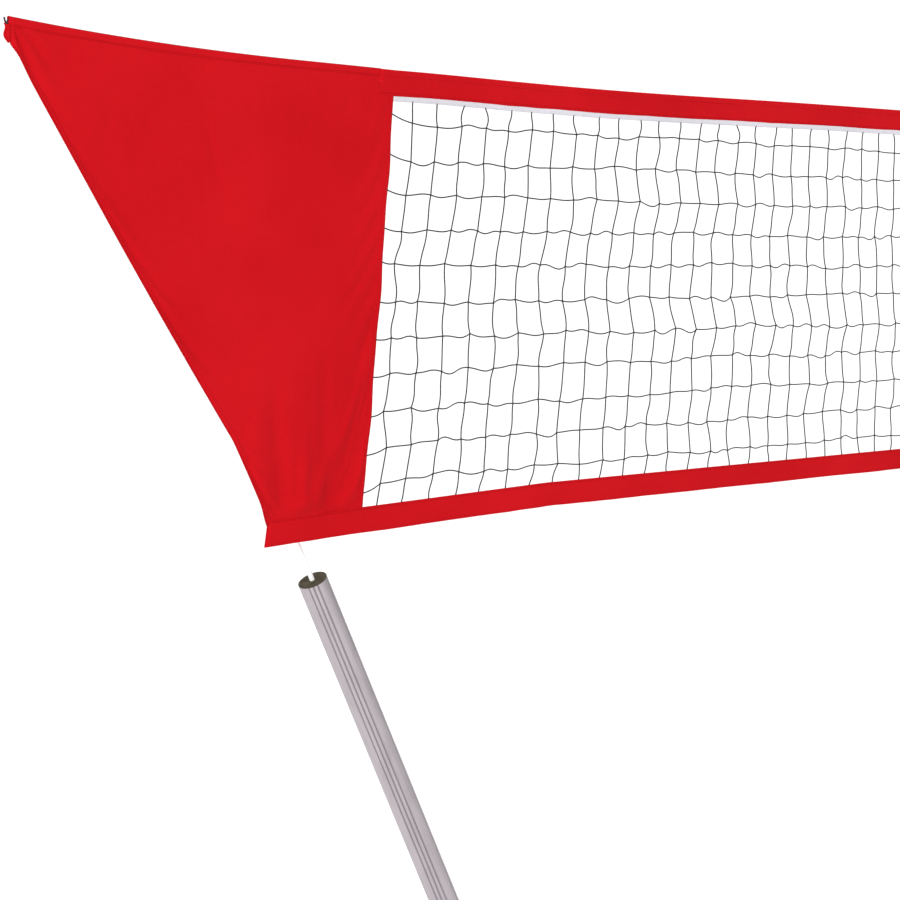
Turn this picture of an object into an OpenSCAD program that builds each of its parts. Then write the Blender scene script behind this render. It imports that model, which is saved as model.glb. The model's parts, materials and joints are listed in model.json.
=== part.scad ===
// Outdoor volleyball net on two outward-leaning telescopic poles.
// X runs along the net, Y across it, Z up from the ground; the origin is midway between the poles.
// The net hangs on the -Y side of the poles. Left is -X. Each right-hand part mirrors its left one.

/* [Net] */
// Height of the net's top edge above the ground
net_top = 2430; // [2300:10:2500]
// Length from one banner tip to the other
net_len = 9754; // [9000:2:9900]
// Height of the top and bottom tapes
tape_h = 50; // [40:1:55]
// Thickness of a doubled fabric panel or tape
fabric_t = 2; // [1.5:0.1:3]
// Number of upright netting cords
column_count = 112; // [90:2:130]
// Number of level netting cords
row_count = 11; // [9:1:13]
// Diameter of the netting cord
twine_d = 2.8; // [1.6:0.1:3]
// Diameter of the cord inside the top hem
top_cord_d = 4; // [3:0.5:5]

/* [Poles] */
// Outward lean of each pole
lean = 27.8; // [24:0.1:30]
// Height of each aluminium tube's top end
tube_top_z = 1444; // [1380:1:1480]
// Outside diameter of the aluminium tubes
tube_d = 58.4; // [50:0.1:60]
// Wall thickness of the aluminium tubes
tube_wall = 2.4; // [2.2:0.1:2.8]
// Diameter of the fibreglass mast
mast_d = 10; // [9:0.5:16]
// Distance from the netting to the poles' centre plane
net_gap = 36; // [35:1:42]

/* [Base] */
// Length of the base plate along the net
plate_x = 340; // [300:5:400]
// Width of the base plate across the net
plate_y = 400; // [360:5:500]
// Thickness of the base plate
plate_t = 6; // [5:0.5:10]
// Distance between stake holes along the net
stake_x = 280; // [240:5:300]
// Distance between stake holes across the net
stake_y = 340; // [300:5:360]

/* [Hidden] */
$fn = 48;

// Net outline, as distances from the middle and heights
tip_x = net_len / 2;
tip_z = net_top + 45;
tip_h = 44;
seam_top_x = tip_x - 927;
seam_low_x = seam_top_x + 98;
knee_x = seam_top_x + 426;
knee_z = net_top - 699;
corner_x = seam_top_x + 349;
corner_z = net_top - 907;
seam_low_z = net_top - 898;
level_x = seam_low_x - 550;
level_z = net_top - 884;
hem_r = 4;
hem_bore_r = 2.7;
hem_slope = atan((tip_z - net_top) / (tip_x - seam_top_x));
hem_run = norm([tip_x - seam_top_x, tip_z - net_top]);
header_h = 11;
header_t = 1.6;
lace_gap = 0.5;
twine_gap = 0.1;
knot_r = 3.4;
cord_tail = 5;
cord_rise = 2;
bend_swell = 0.3;
tab_top = 12;
tab_w = 11;
tab_belly = 14;

// Netting layout
first_column_x = seam_top_x - 51;
column_pitch = 2 * first_column_x / (column_count - 1);
fan_shift = 107;
fan_reach = 1400;
first_row_z = net_top - 100;
row_pitch = 69.7 * 10 / (row_count - 1);

// Pole layout: distances along a pole are measured from where its axis meets the ground
tube_r = tube_d / 2;
bore_r = tube_r - tube_wall;
tube_top_d = tube_top_z / cos(lean);
pole_top_x = seam_top_x + 192;
pole_foot_x = pole_top_x - tube_top_z * tan(lean);
tube_start_d = 26;
joint_d = 815;
joint_gap = 0.3;
groove_r = 2;
groove_out = 0.9;
groove_step = 18;
first_band = 46;
clamp_angle = 53;

// Mast, hook and pocket
mast_r = mast_d / 2;
mast_inside = 300;
mast_seat = 5;
bush_len = 40;
cap_wall = 3;
cap_low = 18;
cap_high = 12;
fit = 0.05;
slack = 0.3;
hook_z = net_top - 86;
hook_d = hook_z / cos(lean);
hook_x = pole_foot_x + hook_z * tan(lean);
height_travel = 305;
pocket_top_z = net_top - 30;
pocket_h = 45;
pocket_wall = 1.5;
pocket_depth = 15;
pocket_margin = 30;
net_back_y = -net_gap + fabric_t / 2;

// Small parts
plug_len = 100;
flange_t = 1.5;
clamp_drop = 60;
stud_r = 4;
stud_hole_r = 4.3;
hole_reach = tube_r + 5;
button_drop = 50;
button_r = 4;
coupler_half = 100;
coupler_r = bore_r - slack;
coupler_wall = 1.8;
leaf_w = 9;
leaf_t = 1;
leaf_low = 48;
leaf_y = coupler_r - coupler_wall - 2.4;
socket_bore_r = tube_r + slack;
socket_r = socket_bore_r + 3;
socket_len = 150;
bolt_d = 100;

// ---------- helpers ----------

// Mirrors a left-hand part to the right
module right() {
    mirror([1, 0, 0]) children();
}

// Puts children on the left pole's axis, distance d up it
module on_pole(d = 0) {
    translate([-pole_foot_x, 0, 0]) rotate([0, -lean, 0]) translate([0, 0, d]) children();
}

// An upright flat panel in the net's plane, drawn as x and z
module panel(t = fabric_t) {
    translate([0, -net_gap + t / 2, 0]) rotate([90, 0, 0]) linear_extrude(t) children();
}

// A rod between two points in a plane parallel to the net
module rod(a, b, y, r) {
    translate([a[0], y, a[1]])
        rotate([0, 90 - atan2(b[1] - a[1], b[0] - a[0]), 0])
            cylinder(r = r, h = norm(b - a));
}

// A bar along Y with its near end at y
module bar(y, len, r) {
    translate([0, y, 0]) rotate([-90, 0, 0]) cylinder(r = r, h = len);
}

// Turns a bar's +Y direction to the side that carries the clamp screw
module at_clamp() {
    rotate([0, 0, clamp_angle - 90]) children();
}

function lerp(a, b, t) = a + (b - a) * t;
function seam_x(z) = lerp(seam_top_x, seam_low_x, (net_top - z) / (net_top - seam_low_z));
function low_edge_z(x) = x < level_x ? level_z
    : lerp(level_z, seam_low_z, (x - level_x) / (seam_low_x - level_x));
function fan(x) = fan_shift * max(0, 1 - (first_column_x - x) / fan_reach);

// ---------- net ----------

// Level tape along the top of the netting, folded round the top cord
module top_tape() {
    color("crimson") difference() {
        union() {
            panel() translate([-seam_top_x, net_top - tape_h]) square([2 * seam_top_x, tape_h]);
            rod([-seam_top_x, net_top - hem_r], [seam_top_x, net_top - hem_r], -net_gap, hem_r);
        }
        rod([-tip_x, net_top - hem_r], [tip_x, net_top - hem_r], -net_gap, hem_bore_r);
    }
}

// Tape along the foot of the net, from corner to corner
module bottom_tape() {
    low = [[corner_x, corner_z], [seam_low_x, seam_low_z], [level_x, level_z]];
    high = [for (p = low) [p[0], p[1] + tape_h]];
    left_low = [for (p = low) [-p[0], p[1]]];
    left_high = [for (p = high) [-p[0], p[1]]];
    outline = concat(
        left_low,
        [low[2], low[1], low[0], high[0], high[1], high[2]],
        [left_high[2], left_high[1], left_high[0]]
    );
    color("crimson") panel() polygon(outline);
}

// White strip that the netting's top row is laced to
module header_strip() {
    color("lavender") panel(header_t) polygon([
        [-seam_x(net_top - tape_h), net_top - tape_h],
        [-seam_x(net_top - tape_h - header_h), net_top - tape_h - header_h],
        [seam_x(net_top - tape_h - header_h), net_top - tape_h - header_h],
        [seam_x(net_top - tape_h), net_top - tape_h]
    ]);
}

// Cord through the top hems, knotted beyond each banner tip, its cut end turned up
module top_cord() {
    r = top_cord_d / 2;
    ends = [tip_x + cord_tail, tip_z - hem_r];
    bend = [seam_top_x, net_top - hem_r];
    color("#3a2630") union() {
        rod([-bend[0], bend[1]], bend, -net_gap, r);
        for (s = [-1, 1]) {
            translate([s * bend[0], -net_gap, bend[1]]) sphere(r = r + bend_swell);
            rod([s * bend[0], bend[1]], [s * ends[0], ends[1]], -net_gap, r);
            translate([s * ends[0], -net_gap, ends[1]]) sphere(r = knot_r);
            rod([s * ends[0], ends[1]], [s * (ends[0] + cord_tail), ends[1] + cord_rise], -net_gap, r);
        }
    }
}

// Upright netting cords, fanned out towards the banner seams
module upright_cords() {
    y = -net_gap - twine_d / 2 - twine_gap;
    color("#2b2b2e") for (i = [0 : column_count - 1]) {
        x = -first_column_x + i * column_pitch;
        low_x = x + sign(x) * fan(abs(x));
        rod([x, net_top - tape_h - header_h - lace_gap], [low_x, low_edge_z(abs(low_x)) + tape_h + lace_gap],
            y, twine_d / 2);
    }
}

// Level netting cords, from seam to seam
module level_cords() {
    y = -net_gap + twine_d / 2 + twine_gap;
    color("#2b2b2e") for (i = [0 : row_count - 1]) {
        z = first_row_z - i * row_pitch;
        rod([-seam_x(z) + lace_gap, z], [seam_x(z) - lace_gap, z], y, twine_d / 2);
    }
}

// Pointed end banner with its own top hem
module left_banner() {
    color("crimson") difference() {
        union() {
            panel() polygon([
                [-tip_x, tip_z],
                [-tip_x, tip_z - tip_h],
                [-knee_x, knee_z],
                [-corner_x, corner_z + tape_h],
                [-seam_low_x, seam_low_z + tape_h],
                [-seam_top_x, net_top]
            ]);
            translate([-seam_top_x, -net_gap, net_top - hem_r]) rotate([0, -90 + hem_slope, 0])
                cylinder(r = hem_r, h = hem_run);
        }
        translate([-seam_top_x, -net_gap, net_top - hem_r]) rotate([0, -90 + hem_slope, 0])
            translate([0, 0, -20]) cylinder(r = hem_bore_r, h = hem_run + 60);
        translate([-seam_top_x, -net_gap - 10, net_top - 20]) cube([40, 20, 40]);
    }
}

// Loose end of the slanting edge's hem, beyond the banner's tip
module left_tip_tab() {
    color("crimson") panel() polygon([
        [-tip_x, tip_z - tab_top],
        [-tip_x - tab_w * 0.6, tip_z - tab_top],
        [-tip_x - tab_w, tip_z - tab_top - tab_belly],
        [-tip_x - tab_w * 0.4, tip_z - tip_h],
        [-tip_x, tip_z - tip_h]
    ]);
}

// Webbing channel on the banner's back that the mast's hook holds up and slides along
module left_pocket() {
    low_z = pocket_top_z - pocket_h;
    run = height_travel * tan(lean) + 2 * pocket_margin;
    color("crimson") translate([-hook_x - pocket_margin, net_back_y, low_z]) difference() {
        cube([run, pocket_depth, pocket_h]);
        translate([-1, pocket_wall, -1])
            cube([run + 2, pocket_depth - 2 * pocket_wall, pocket_h - pocket_wall + 1]);
    }
}

// ---------- mast ----------

// Moulded cap on the mast with a finger that reaches up into the pocket
module left_hook() {
    finger_y = net_back_y + 4;
    finger_w = 12;
    finger_t = 7;
    finger_top = pocket_top_z - pocket_wall - 1;
    arm_h = 8;
    arm_z = hook_z - arm_h / 2;
    color("#1e1e20") difference() {
        union() {
            on_pole(hook_d - cap_low) cylinder(r = mast_r + cap_wall, h = cap_low + cap_high);
            on_pole(hook_d + cap_high) sphere(r = mast_r + cap_wall);
            translate([-hook_x - finger_w / 2, finger_y, arm_z]) {
                cube([finger_w, -finger_y - mast_r, arm_h]);
                cube([finger_w, finger_t, finger_top - arm_z]);
            }
        }
        on_pole(hook_d - cap_low - 1) cylinder(r = mast_r + fit, h = cap_low + 1 + mast_seat);
    }
}

// White fibreglass mast that telescopes in the tube
module left_mast() {
    color("white") on_pole(tube_top_d - mast_inside)
        cylinder(r = mast_r, h = hook_d + mast_seat - fit - tube_top_d + mast_inside);
}

// Guide bush on the mast's foot, inside the tube
module left_mast_bush() {
    color("#1e1e20") on_pole(tube_top_d - mast_inside) difference() {
        cylinder(r = bore_r - slack, h = bush_len);
        translate([0, 0, -1]) cylinder(r = mast_r + fit, h = bush_len + 2);
    }
}

// ---------- tubes ----------

// Aluminium tube profile with four bands of three shallow grooves
module tube_profile() {
    difference() {
        circle(r = tube_r);
        circle(r = bore_r);
        for (band = [0 : 90 : 270], k = [-1 : 1])
            rotate(first_band + band + k * groove_step)
                translate([tube_r + groove_out, 0]) circle(r = groove_r, $fn = 16);
    }
}

// Upper tube, whose open end holds the plug
module left_upper_tube() {
    color("#c4bcc2") difference() {
        on_pole(joint_d + joint_gap) linear_extrude(tube_top_d - joint_d - joint_gap) tube_profile();
        on_pole(tube_top_d - clamp_drop) at_clamp() bar(0, hole_reach, stud_hole_r);
    }
}

// Base tube, bolted in the socket
module left_base_tube() {
    color("#c4bcc2") difference() {
        on_pole(tube_start_d) linear_extrude(joint_d - joint_gap - tube_start_d) tube_profile();
        on_pole(joint_d - button_drop) bar(0, hole_reach, stud_hole_r);
        on_pole(bolt_d) bar(-hole_reach, 2 * hole_reach, stud_hole_r);
    }
}

// Sleeve inside the joint between the two tubes
module left_coupler() {
    color("silver") difference() {
        on_pole(joint_d - coupler_half) cylinder(r = coupler_r, h = 2 * coupler_half);
        on_pole(joint_d - coupler_half - 1)
            cylinder(r = coupler_r - coupler_wall, h = 2 * coupler_half + 2);
        on_pole(joint_d - button_drop) bar(0, hole_reach, stud_hole_r);
    }
}

// Spring button that locks the joint, riveted to its moving leaf
module left_snap_button() {
    button_y = tube_r + 1.5;
    rivet_y = leaf_y + leaf_t / 2;
    color("silver") on_pole(joint_d - button_drop) {
        bar(rivet_y, button_y - rivet_y, button_r);
        translate([0, button_y, 0]) intersection() {
            sphere(r = button_r);
            translate([-5, 0, -5]) cube([10, 2, 10]);
        }
        translate([-leaf_w / 2, leaf_y, 5 - leaf_low]) cube([leaf_w, leaf_t, leaf_low + 5]);
    }
}

// Fixed leaf of the same spring clip, against the far wall of the coupler
module left_snap_spring() {
    color("silver") on_pole(joint_d - button_drop) {
        translate([-leaf_w / 2, -leaf_y - leaf_t, -leaf_low]) cube([leaf_w, leaf_t, leaf_low + 12]);
        translate([-leaf_w / 2, -leaf_y, -leaf_low]) cube([leaf_w, 2 * leaf_y - 1, leaf_t]);
    }
}

// Dark plug in the tube's top end; the mast slides in its bore
module left_plug() {
    color("#4b4637") on_pole(tube_top_d - plug_len) difference() {
        union() {
            cylinder(r = bore_r - 0.15, h = plug_len + flange_t / 2);
            translate([0, 0, plug_len]) cylinder(r = tube_r, h = flange_t);
        }
        translate([0, 0, -1]) cylinder(r = mast_r + 2 * fit, h = plug_len + flange_t + 2);
        translate([0, 0, plug_len - clamp_drop]) at_clamp() bar(0, hole_reach, stud_hole_r);
    }
}

// Five-lobed clamp knob whose stud presses on the mast
module left_knob() {
    boss_r = 9;
    head_y = tube_r + 8;
    head_r = 14;
    head_t = 12;
    lobe_x = 13;
    lobe_r = 5.5;
    color("#1e1e20") on_pole(tube_top_d - clamp_drop) at_clamp() difference() {
        union() {
            bar(mast_r + slack, head_y + 4 - mast_r, stud_r);
            bar(tube_r + 1.2, 10, boss_r);
            translate([0, head_y, 0]) rotate([-90, 0, 0]) linear_extrude(head_t) {
                circle(r = head_r);
                for (a = [18 : 72 : 306]) rotate(a) translate([lobe_x, 0]) circle(r = lobe_r);
            }
        }
        bar(head_y + head_t - 2.5, 5, 6);
    }
}

// Black plastic cap in the base tube's lower end
module left_foot_cap() {
    rim_t = 3;
    color("#1e1e20") on_pole(tube_start_d - rim_t) {
        cylinder(r = tube_r, h = rim_t);
        translate([0, 0, rim_t]) cylinder(r = bore_r - slack, h = 30);
    }
}

// ---------- base ----------

// Steel socket welded to the base plate
module left_socket() {
    color("#303236") difference() {
        on_pole(0) cylinder(r = socket_r, h = socket_len);
        on_pole(-50) cylinder(r = socket_bore_r, h = socket_len + 60);
        on_pole(bolt_d) bar(-40, 80, stud_hole_r);
        translate([-pole_foot_x - 100, -100, plate_t - 100]) cube([200, 200, 100]);
    }
}

// Bolt and nut through the socket and the base tube
module left_socket_bolt() {
    hex_r = 7.5;
    head_t = 5.5;
    nut_t = 6.5;
    clear = 0.5;
    color("silver") on_pole(bolt_d) {
        bar(-socket_r - clear, 2 * socket_r + 10, stud_r);
        translate([0, -socket_r - clear - head_t, 0]) rotate([-90, 0, 0])
            cylinder(r = hex_r, h = head_t, $fn = 6);
        translate([0, socket_r + clear, 0]) rotate([-90, 0, 0]) difference() {
            cylinder(r = hex_r, h = nut_t, $fn = 6);
            translate([0, 0, -1]) cylinder(r = stud_r, h = nut_t + 2);
        }
    }
}

// Steel base plate with four stake holes and a gusset under the leaning socket
module left_base_plate() {
    corner_r = 25;
    hole_r = 6.5;
    gusset_x = 150;
    gusset_h = 124;
    gusset_t = 6;
    color("#303236") translate([-pole_foot_x, 0, 0]) difference() {
        union() {
            linear_extrude(plate_t) {
                square([plate_x, plate_y - 2 * corner_r], center = true);
                square([plate_x - 2 * corner_r, plate_y], center = true);
                for (x = [-1, 1], y = [-1, 1])
                    translate([x * (plate_x / 2 - corner_r), y * (plate_y / 2 - corner_r)])
                        circle(r = corner_r);
            }
            translate([0, gusset_t / 2, 0]) rotate([90, 0, 0]) linear_extrude(gusset_t) polygon([
                [-20, plate_t / 2],
                [-gusset_x, plate_t / 2],
                [-gusset_x, plate_t + 4],
                [-gusset_h * tan(lean), gusset_h]
            ]);
        }
        difference() {
            rotate([0, -lean, 0]) cylinder(r = socket_r + fit, h = socket_len + 50);
            translate([-100, -100, plate_t - 100]) cube([200, 200, 100]);
        }
        for (x = [-1, 1], y = [-1, 1])
            translate([x * stake_x / 2, y * stake_y / 2, -1]) cylinder(r = hole_r, h = plate_t + 2);
    }
}

top_tape();
bottom_tape();
header_strip();
top_cord();
upright_cords();
level_cords();
left_banner();
right() left_banner();  // right_banner
left_tip_tab();
right() left_tip_tab();  // right_tip_tab
left_pocket();
right() left_pocket();  // right_pocket
left_hook();
right() left_hook();  // right_hook
left_mast();
right() left_mast();  // right_mast
left_mast_bush();
right() left_mast_bush();  // right_mast_bush
left_plug();
right() left_plug();  // right_plug
left_knob();
right() left_knob();  // right_knob
left_upper_tube();
right() left_upper_tube();  // right_upper_tube
left_base_tube();
right() left_base_tube();  // right_base_tube
left_coupler();
right() left_coupler();  // right_coupler
left_snap_button();
right() left_snap_button();  // right_snap_button
left_snap_spring();
right() left_snap_spring();  // right_snap_spring
left_foot_cap();
right() left_foot_cap();  // right_foot_cap
left_socket();
right() left_socket();  // right_socket
left_socket_bolt();
right() left_socket_bolt();  // right_socket_bolt
left_base_plate();
right() left_base_plate();  // right_base_plate
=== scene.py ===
"""Looks for the volleyball net: cloth, netting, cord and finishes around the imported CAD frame."""
import json
import math

import bpy
import numpy as np
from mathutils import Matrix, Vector, noise


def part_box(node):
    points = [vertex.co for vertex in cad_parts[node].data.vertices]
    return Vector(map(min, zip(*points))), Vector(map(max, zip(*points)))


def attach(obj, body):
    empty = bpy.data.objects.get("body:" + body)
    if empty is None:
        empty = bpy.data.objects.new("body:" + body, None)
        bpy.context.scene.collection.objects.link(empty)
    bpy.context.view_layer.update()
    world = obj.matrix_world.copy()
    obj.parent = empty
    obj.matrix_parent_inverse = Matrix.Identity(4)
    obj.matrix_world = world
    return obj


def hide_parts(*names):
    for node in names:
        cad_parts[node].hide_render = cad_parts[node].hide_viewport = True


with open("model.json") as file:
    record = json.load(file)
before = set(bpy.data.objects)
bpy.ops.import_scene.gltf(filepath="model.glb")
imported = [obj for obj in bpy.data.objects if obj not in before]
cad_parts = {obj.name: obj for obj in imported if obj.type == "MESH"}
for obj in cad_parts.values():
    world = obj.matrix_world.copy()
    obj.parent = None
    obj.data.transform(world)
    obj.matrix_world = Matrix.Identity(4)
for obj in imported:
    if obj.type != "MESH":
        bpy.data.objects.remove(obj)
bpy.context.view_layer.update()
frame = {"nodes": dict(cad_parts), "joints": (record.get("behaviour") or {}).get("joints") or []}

# ---------------------------------------------------------------- measures

MM = 0.001
SIDES = {"left": -1, "right": 1}

tape_low, tape_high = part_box("top_tape")
foot_low, foot_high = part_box("bottom_tape")
banner_low, banner_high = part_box("left_banner")
levels_low, levels_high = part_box("level_cords")
pocket_low, pocket_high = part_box("left_pocket")
plate_low, plate_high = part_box("left_base_plate")
cap_low, cap_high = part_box("left_foot_cap")

# Distances are from the middle of the net and heights are from the ground, in metres.
NET_Y = (banner_low.y + banner_high.y) / 2
NET_TOP = tape_high.z
TAPE_H = tape_high.z - tape_low.z
SEAM_TOP_X = tape_high.x
SEAM_LOW_X = SEAM_TOP_X + 98 * MM
TIP_X, TIP_Z = -banner_low.x, banner_high.z
TIP_H = 44 * MM
KNEE = (SEAM_TOP_X + 426 * MM, NET_TOP - 699 * MM)
CORNER = (foot_high.x, foot_low.z)
SEAM_LOW_Z = NET_TOP - 898 * MM
LEVEL_X, LEVEL_Z = SEAM_LOW_X - 550 * MM, foot_high.z - TAPE_H
HEADER_H = 11 * MM
CORD_R = 2 * MM
TUCK = 9 * MM

# The netting: its knots, their pitch, and how far its columns fan out towards the banners' feet.
COLUMNS = 112
ROWS = 11
FIRST_COLUMN_X = SEAM_TOP_X - 51 * MM
FIRST_ROW_Z = levels_high.z - (levels_high.y - levels_low.y) / 2
ROW_PITCH = 69.7 * MM
COLUMN_PITCH = 2 * FIRST_COLUMN_X / (COLUMNS - 1)
FAN_SHIFT = 107 * MM
FAN_REACH = 1.4
TWINE_R = (levels_high.y - levels_low.y) / 2

# Thicknesses of the cloth, sizes of the hems, and how the tapes are folded and thinned.
CLOTH_T = 1.1 * MM
HEM_T = 1.9 * MM
HEM_W = 12 * MM
HEM_R = 3.4 * MM
TOP_HEM_H = 16 * MM
TAB_T = 2 * MM
LAYER = 0.9 * MM
TAPE_GAP = 0.75 * MM
TAPE_LAP = 44 * MM
THIN_FROM, THIN_OVER = 15 * MM, 6 * MM
FOOT_R, FOOT_GAP = 2.3 * MM, 1.35 * MM
POCKET_WALL = 1.5 * MM

# The poles: their lean, foot and radius, and the room between the net's plane and the tubes.
mast_axis = next(j["axis"] for j in frame["joints"] if j["name"] == "left_mast_slide")
LEAN = math.atan2(abs(mast_axis[0]), mast_axis[2])
POLE_FOOT_X = -(plate_low.x + plate_high.x) / 2
TUBE_R = (cap_high.y - cap_low.y) / 2
POLE_ROOM = -NET_Y - TUBE_R


def lerp(a, b, t):
    """From a to b as t goes from 0 to 1."""
    return a + (b - a) * t


def smooth(t):
    """Smooth step from 0 to 1."""
    t = min(1.0, max(0.0, t))
    return t * t * (3 - 2 * t)


def hump(x, centre, width):
    """A smooth rise of 1 at the centre that fades over width."""
    return math.exp(-(((x - centre) / width) ** 2))


def seam_x(z):
    """Distance of the banner's seam from the middle at height z, with a slight waver."""
    share = (NET_TOP - z) / (NET_TOP - SEAM_LOW_Z)
    waver = 1.6 * MM * math.sin(share * 23) + 0.8 * MM * math.sin(share * 47 + 1)
    bulge = 5 * MM * math.sin(math.pi * min(1.0, max(0.0, share)))
    return lerp(SEAM_TOP_X, SEAM_LOW_X, share) - bulge + waver * smooth(share * 8) * smooth((1 - share) * 12)


def foot_z(x):
    """Height of the bottom tape's lower edge at distance x from the middle."""
    x = abs(x)
    if x < LEVEL_X:
        return LEVEL_Z
    if x < SEAM_LOW_X:
        return lerp(LEVEL_Z, SEAM_LOW_Z, (x - LEVEL_X) / (SEAM_LOW_X - LEVEL_X))
    return lerp(SEAM_LOW_Z, CORNER[1], (x - SEAM_LOW_X) / (CORNER[0] - SEAM_LOW_X))


def top_z(x):
    """Height of the net's top edge at distance x from the middle: a long slack wave, then up to the tip."""
    inboard = SEAM_TOP_X - abs(x)
    share = max(0.0, -inboard / (TIP_X - SEAM_TOP_X))
    wave = 4 * MM * hump(inboard, 0, 0.30) - 4 * MM * hump(inboard, 0.75, 0.45)
    return NET_TOP + (TIP_Z - NET_TOP) * (share + share**3) / 2 + wave


def rough(x, z, size, seed):
    """Smooth noise from -1 to 1 whose lumps are about size metres across."""
    return noise.noise(Vector((x / size, z / size, seed)))


# ---------------------------------------------------------------- mesh helpers


def mesh_object(name, points, faces, material, body="net"):
    """A smooth-shaded mesh that rides on a body, or on nothing if body is None."""
    mesh = bpy.data.meshes.new(name)
    mesh.from_pydata([tuple(p) for p in points], [], faces)
    mesh.materials.append(material)
    mesh.update()
    obj = bpy.data.objects.new(name, mesh)
    bpy.context.scene.collection.objects.link(obj)
    mesh.shade_smooth()
    if body:
        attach(obj, body)
    return obj


def apply_modifier(obj, kind, **settings):
    """Adds a modifier and applies it at once."""
    modifier = obj.modifiers.new(kind.lower(), kind)
    for key, value in settings.items():
        setattr(modifier, key, value)
    with bpy.context.temp_override(object=obj, active_object=obj, selected_objects=[obj]):
        bpy.ops.object.modifier_apply(modifier=modifier.name)


def grid_faces(columns, rows, flip=False):
    """Quads of a grid of points stored row by row."""
    faces = []
    for r in range(rows - 1):
        for c in range(columns - 1):
            a = r * columns + c
            quad = (a, a + 1, a + 1 + columns, a + columns)
            faces.append(quad[::-1] if flip else quad)
    return faces


def swept_faces(steps, loop):
    """Sides and end caps of an outline of loop points swept through a number of steps."""
    faces = []
    for i in range(steps):
        for j in range(loop):
            a, b = i * loop + j, i * loop + (j + 1) % loop
            faces.append((a, a + loop, b + loop, b))
    faces.append(tuple(range(loop)))
    faces.append(tuple(steps * loop + j for j in range(loop))[::-1])
    return faces


class Tubes:
    """Collects many round cords into one mesh."""

    def __init__(self, sides=6):
        self.sides = sides
        self.points = []
        self.faces = []

    def add(self, path, radius):
        """A capped tube along a path of vectors; radius is a number or a function of the share."""
        n, sides, first = len(path), self.sides, len(self.points)
        for i, p in enumerate(path):
            ahead = path[min(i + 1, n - 1)] - path[max(i - 1, 0)]
            ahead.normalize()
            side = ahead.cross(Vector((0, 1, 0)))
            if side.length < 0.2:
                side = ahead.cross(Vector((0, 0, 1)))
            side.normalize()
            other = ahead.cross(side)
            r = radius(i / (n - 1)) if callable(radius) else radius
            for k in range(sides):
                a = 2 * math.pi * k / sides
                self.points.append(p + r * (math.cos(a) * side + math.sin(a) * other))
        for i in range(n - 1):
            for k in range(sides):
                a, b = first + i * sides + k, first + i * sides + (k + 1) % sides
                self.faces.append((a, b, b + sides, a + sides))
        self.faces.append(tuple(first + k for k in range(sides))[::-1])
        self.faces.append(tuple(first + (n - 1) * sides + k for k in range(sides)))

    def build(self, name, material, slot, body="net"):
        obj = mesh_object(name, self.points, self.faces, material, body)
        return obj


def even_points(path, step, length):
    """Pairs of points along a path, length apart, one pair in each step."""
    line = np.array([tuple(p) for p in path])
    run = np.concatenate([[0], np.cumsum(np.linalg.norm(np.diff(line, axis=0), axis=1))])
    for start in np.arange(step / 2, run[-1] - length, step):
        pair = []
        for s in (start, start + length):
            pair.append(Vector([float(np.interp(s, run, line[:, k])) for k in range(3)]))
        yield pair


def stitch_row(threads, path, reach, step=6 * MM, length=4 * MM, radius=0.4 * MM):
    """Lock stitches along a path in the cloth, showing on both faces at reach from its middle."""
    for front in (-1, 1):
        out = Vector((0, front * reach, 0))
        for a, b in even_points(path, step, length):
            middle = (a + b) / 2 + out * (1 + radius / reach * 0.7)
            threads.add([a + out * 0.8, middle, b + out * 0.8], radius)


# ---------------------------------------------------------------- materials


class Nodes:
    """A small helper for writing a material's node tree."""

    def __init__(self, name):
        self.material = bpy.data.materials.new(name)
        self.material.use_nodes = True
        self.tree = self.material.node_tree
        self.shader = self.tree.nodes["Principled BSDF"]

    def add(self, kind, settings=None, **inputs):
        node = self.tree.nodes.new(kind)
        for key, value in (settings or {}).items():
            setattr(node, key, value)
        for key, value in inputs.items():
            self.put(node.inputs[key.replace("_", " ")], value)
        return node

    def put(self, socket, value):
        if isinstance(value, bpy.types.NodeSocket):
            self.tree.links.new(value, socket)
        else:
            socket.default_value = value

    def math(self, operation, a, b=0.0):
        node = self.tree.nodes.new("ShaderNodeMath")
        node.operation = operation
        self.put(node.inputs[0], a)
        self.put(node.inputs[1], b)
        return node.outputs[0]

    def coords(self):
        return self.add("ShaderNodeTexCoord").outputs["Object"]

    def noise(self, scale, detail=3.0, vector=None):
        node = self.add("ShaderNodeTexNoise", Scale=scale, Detail=detail)
        self.put(node.inputs["Vector"], vector or self.coords())
        return node.outputs["Fac"]

    def ramp(self, fac, stops):
        node = self.tree.nodes.new("ShaderNodeValToRGB")
        self.put(node.inputs["Fac"], fac)
        elements = node.color_ramp.elements
        while len(elements) < len(stops):
            elements.new(0.5)
        for element, (place, colour) in zip(elements, stops):
            element.position = place
            element.color = (*colour, 1)
        return node.outputs["Color"]

    def mix(self, fac, a, b):
        """Colour a where fac is 0 and b where it is 1."""
        node = self.add("ShaderNodeMix", {"data_type": "RGBA"})
        self.put(node.inputs[0], fac)
        for socket, value in ((node.inputs[6], a), (node.inputs[7], b)):
            self.put(socket, value if isinstance(value, bpy.types.NodeSocket) else (*value, 1))
        return node.outputs[2]

    def bump(self, height, strength, distance, normal=None):
        node = self.add("ShaderNodeBump", Strength=strength, Distance=distance, Height=height)
        if normal:
            self.put(node.inputs["Normal"], normal)
        return node.outputs["Normal"]

    def finish(self, **sockets):
        for key, value in sockets.items():
            self.put(self.shader.inputs[key.replace("_", " ")], value)
        return self.material


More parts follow.
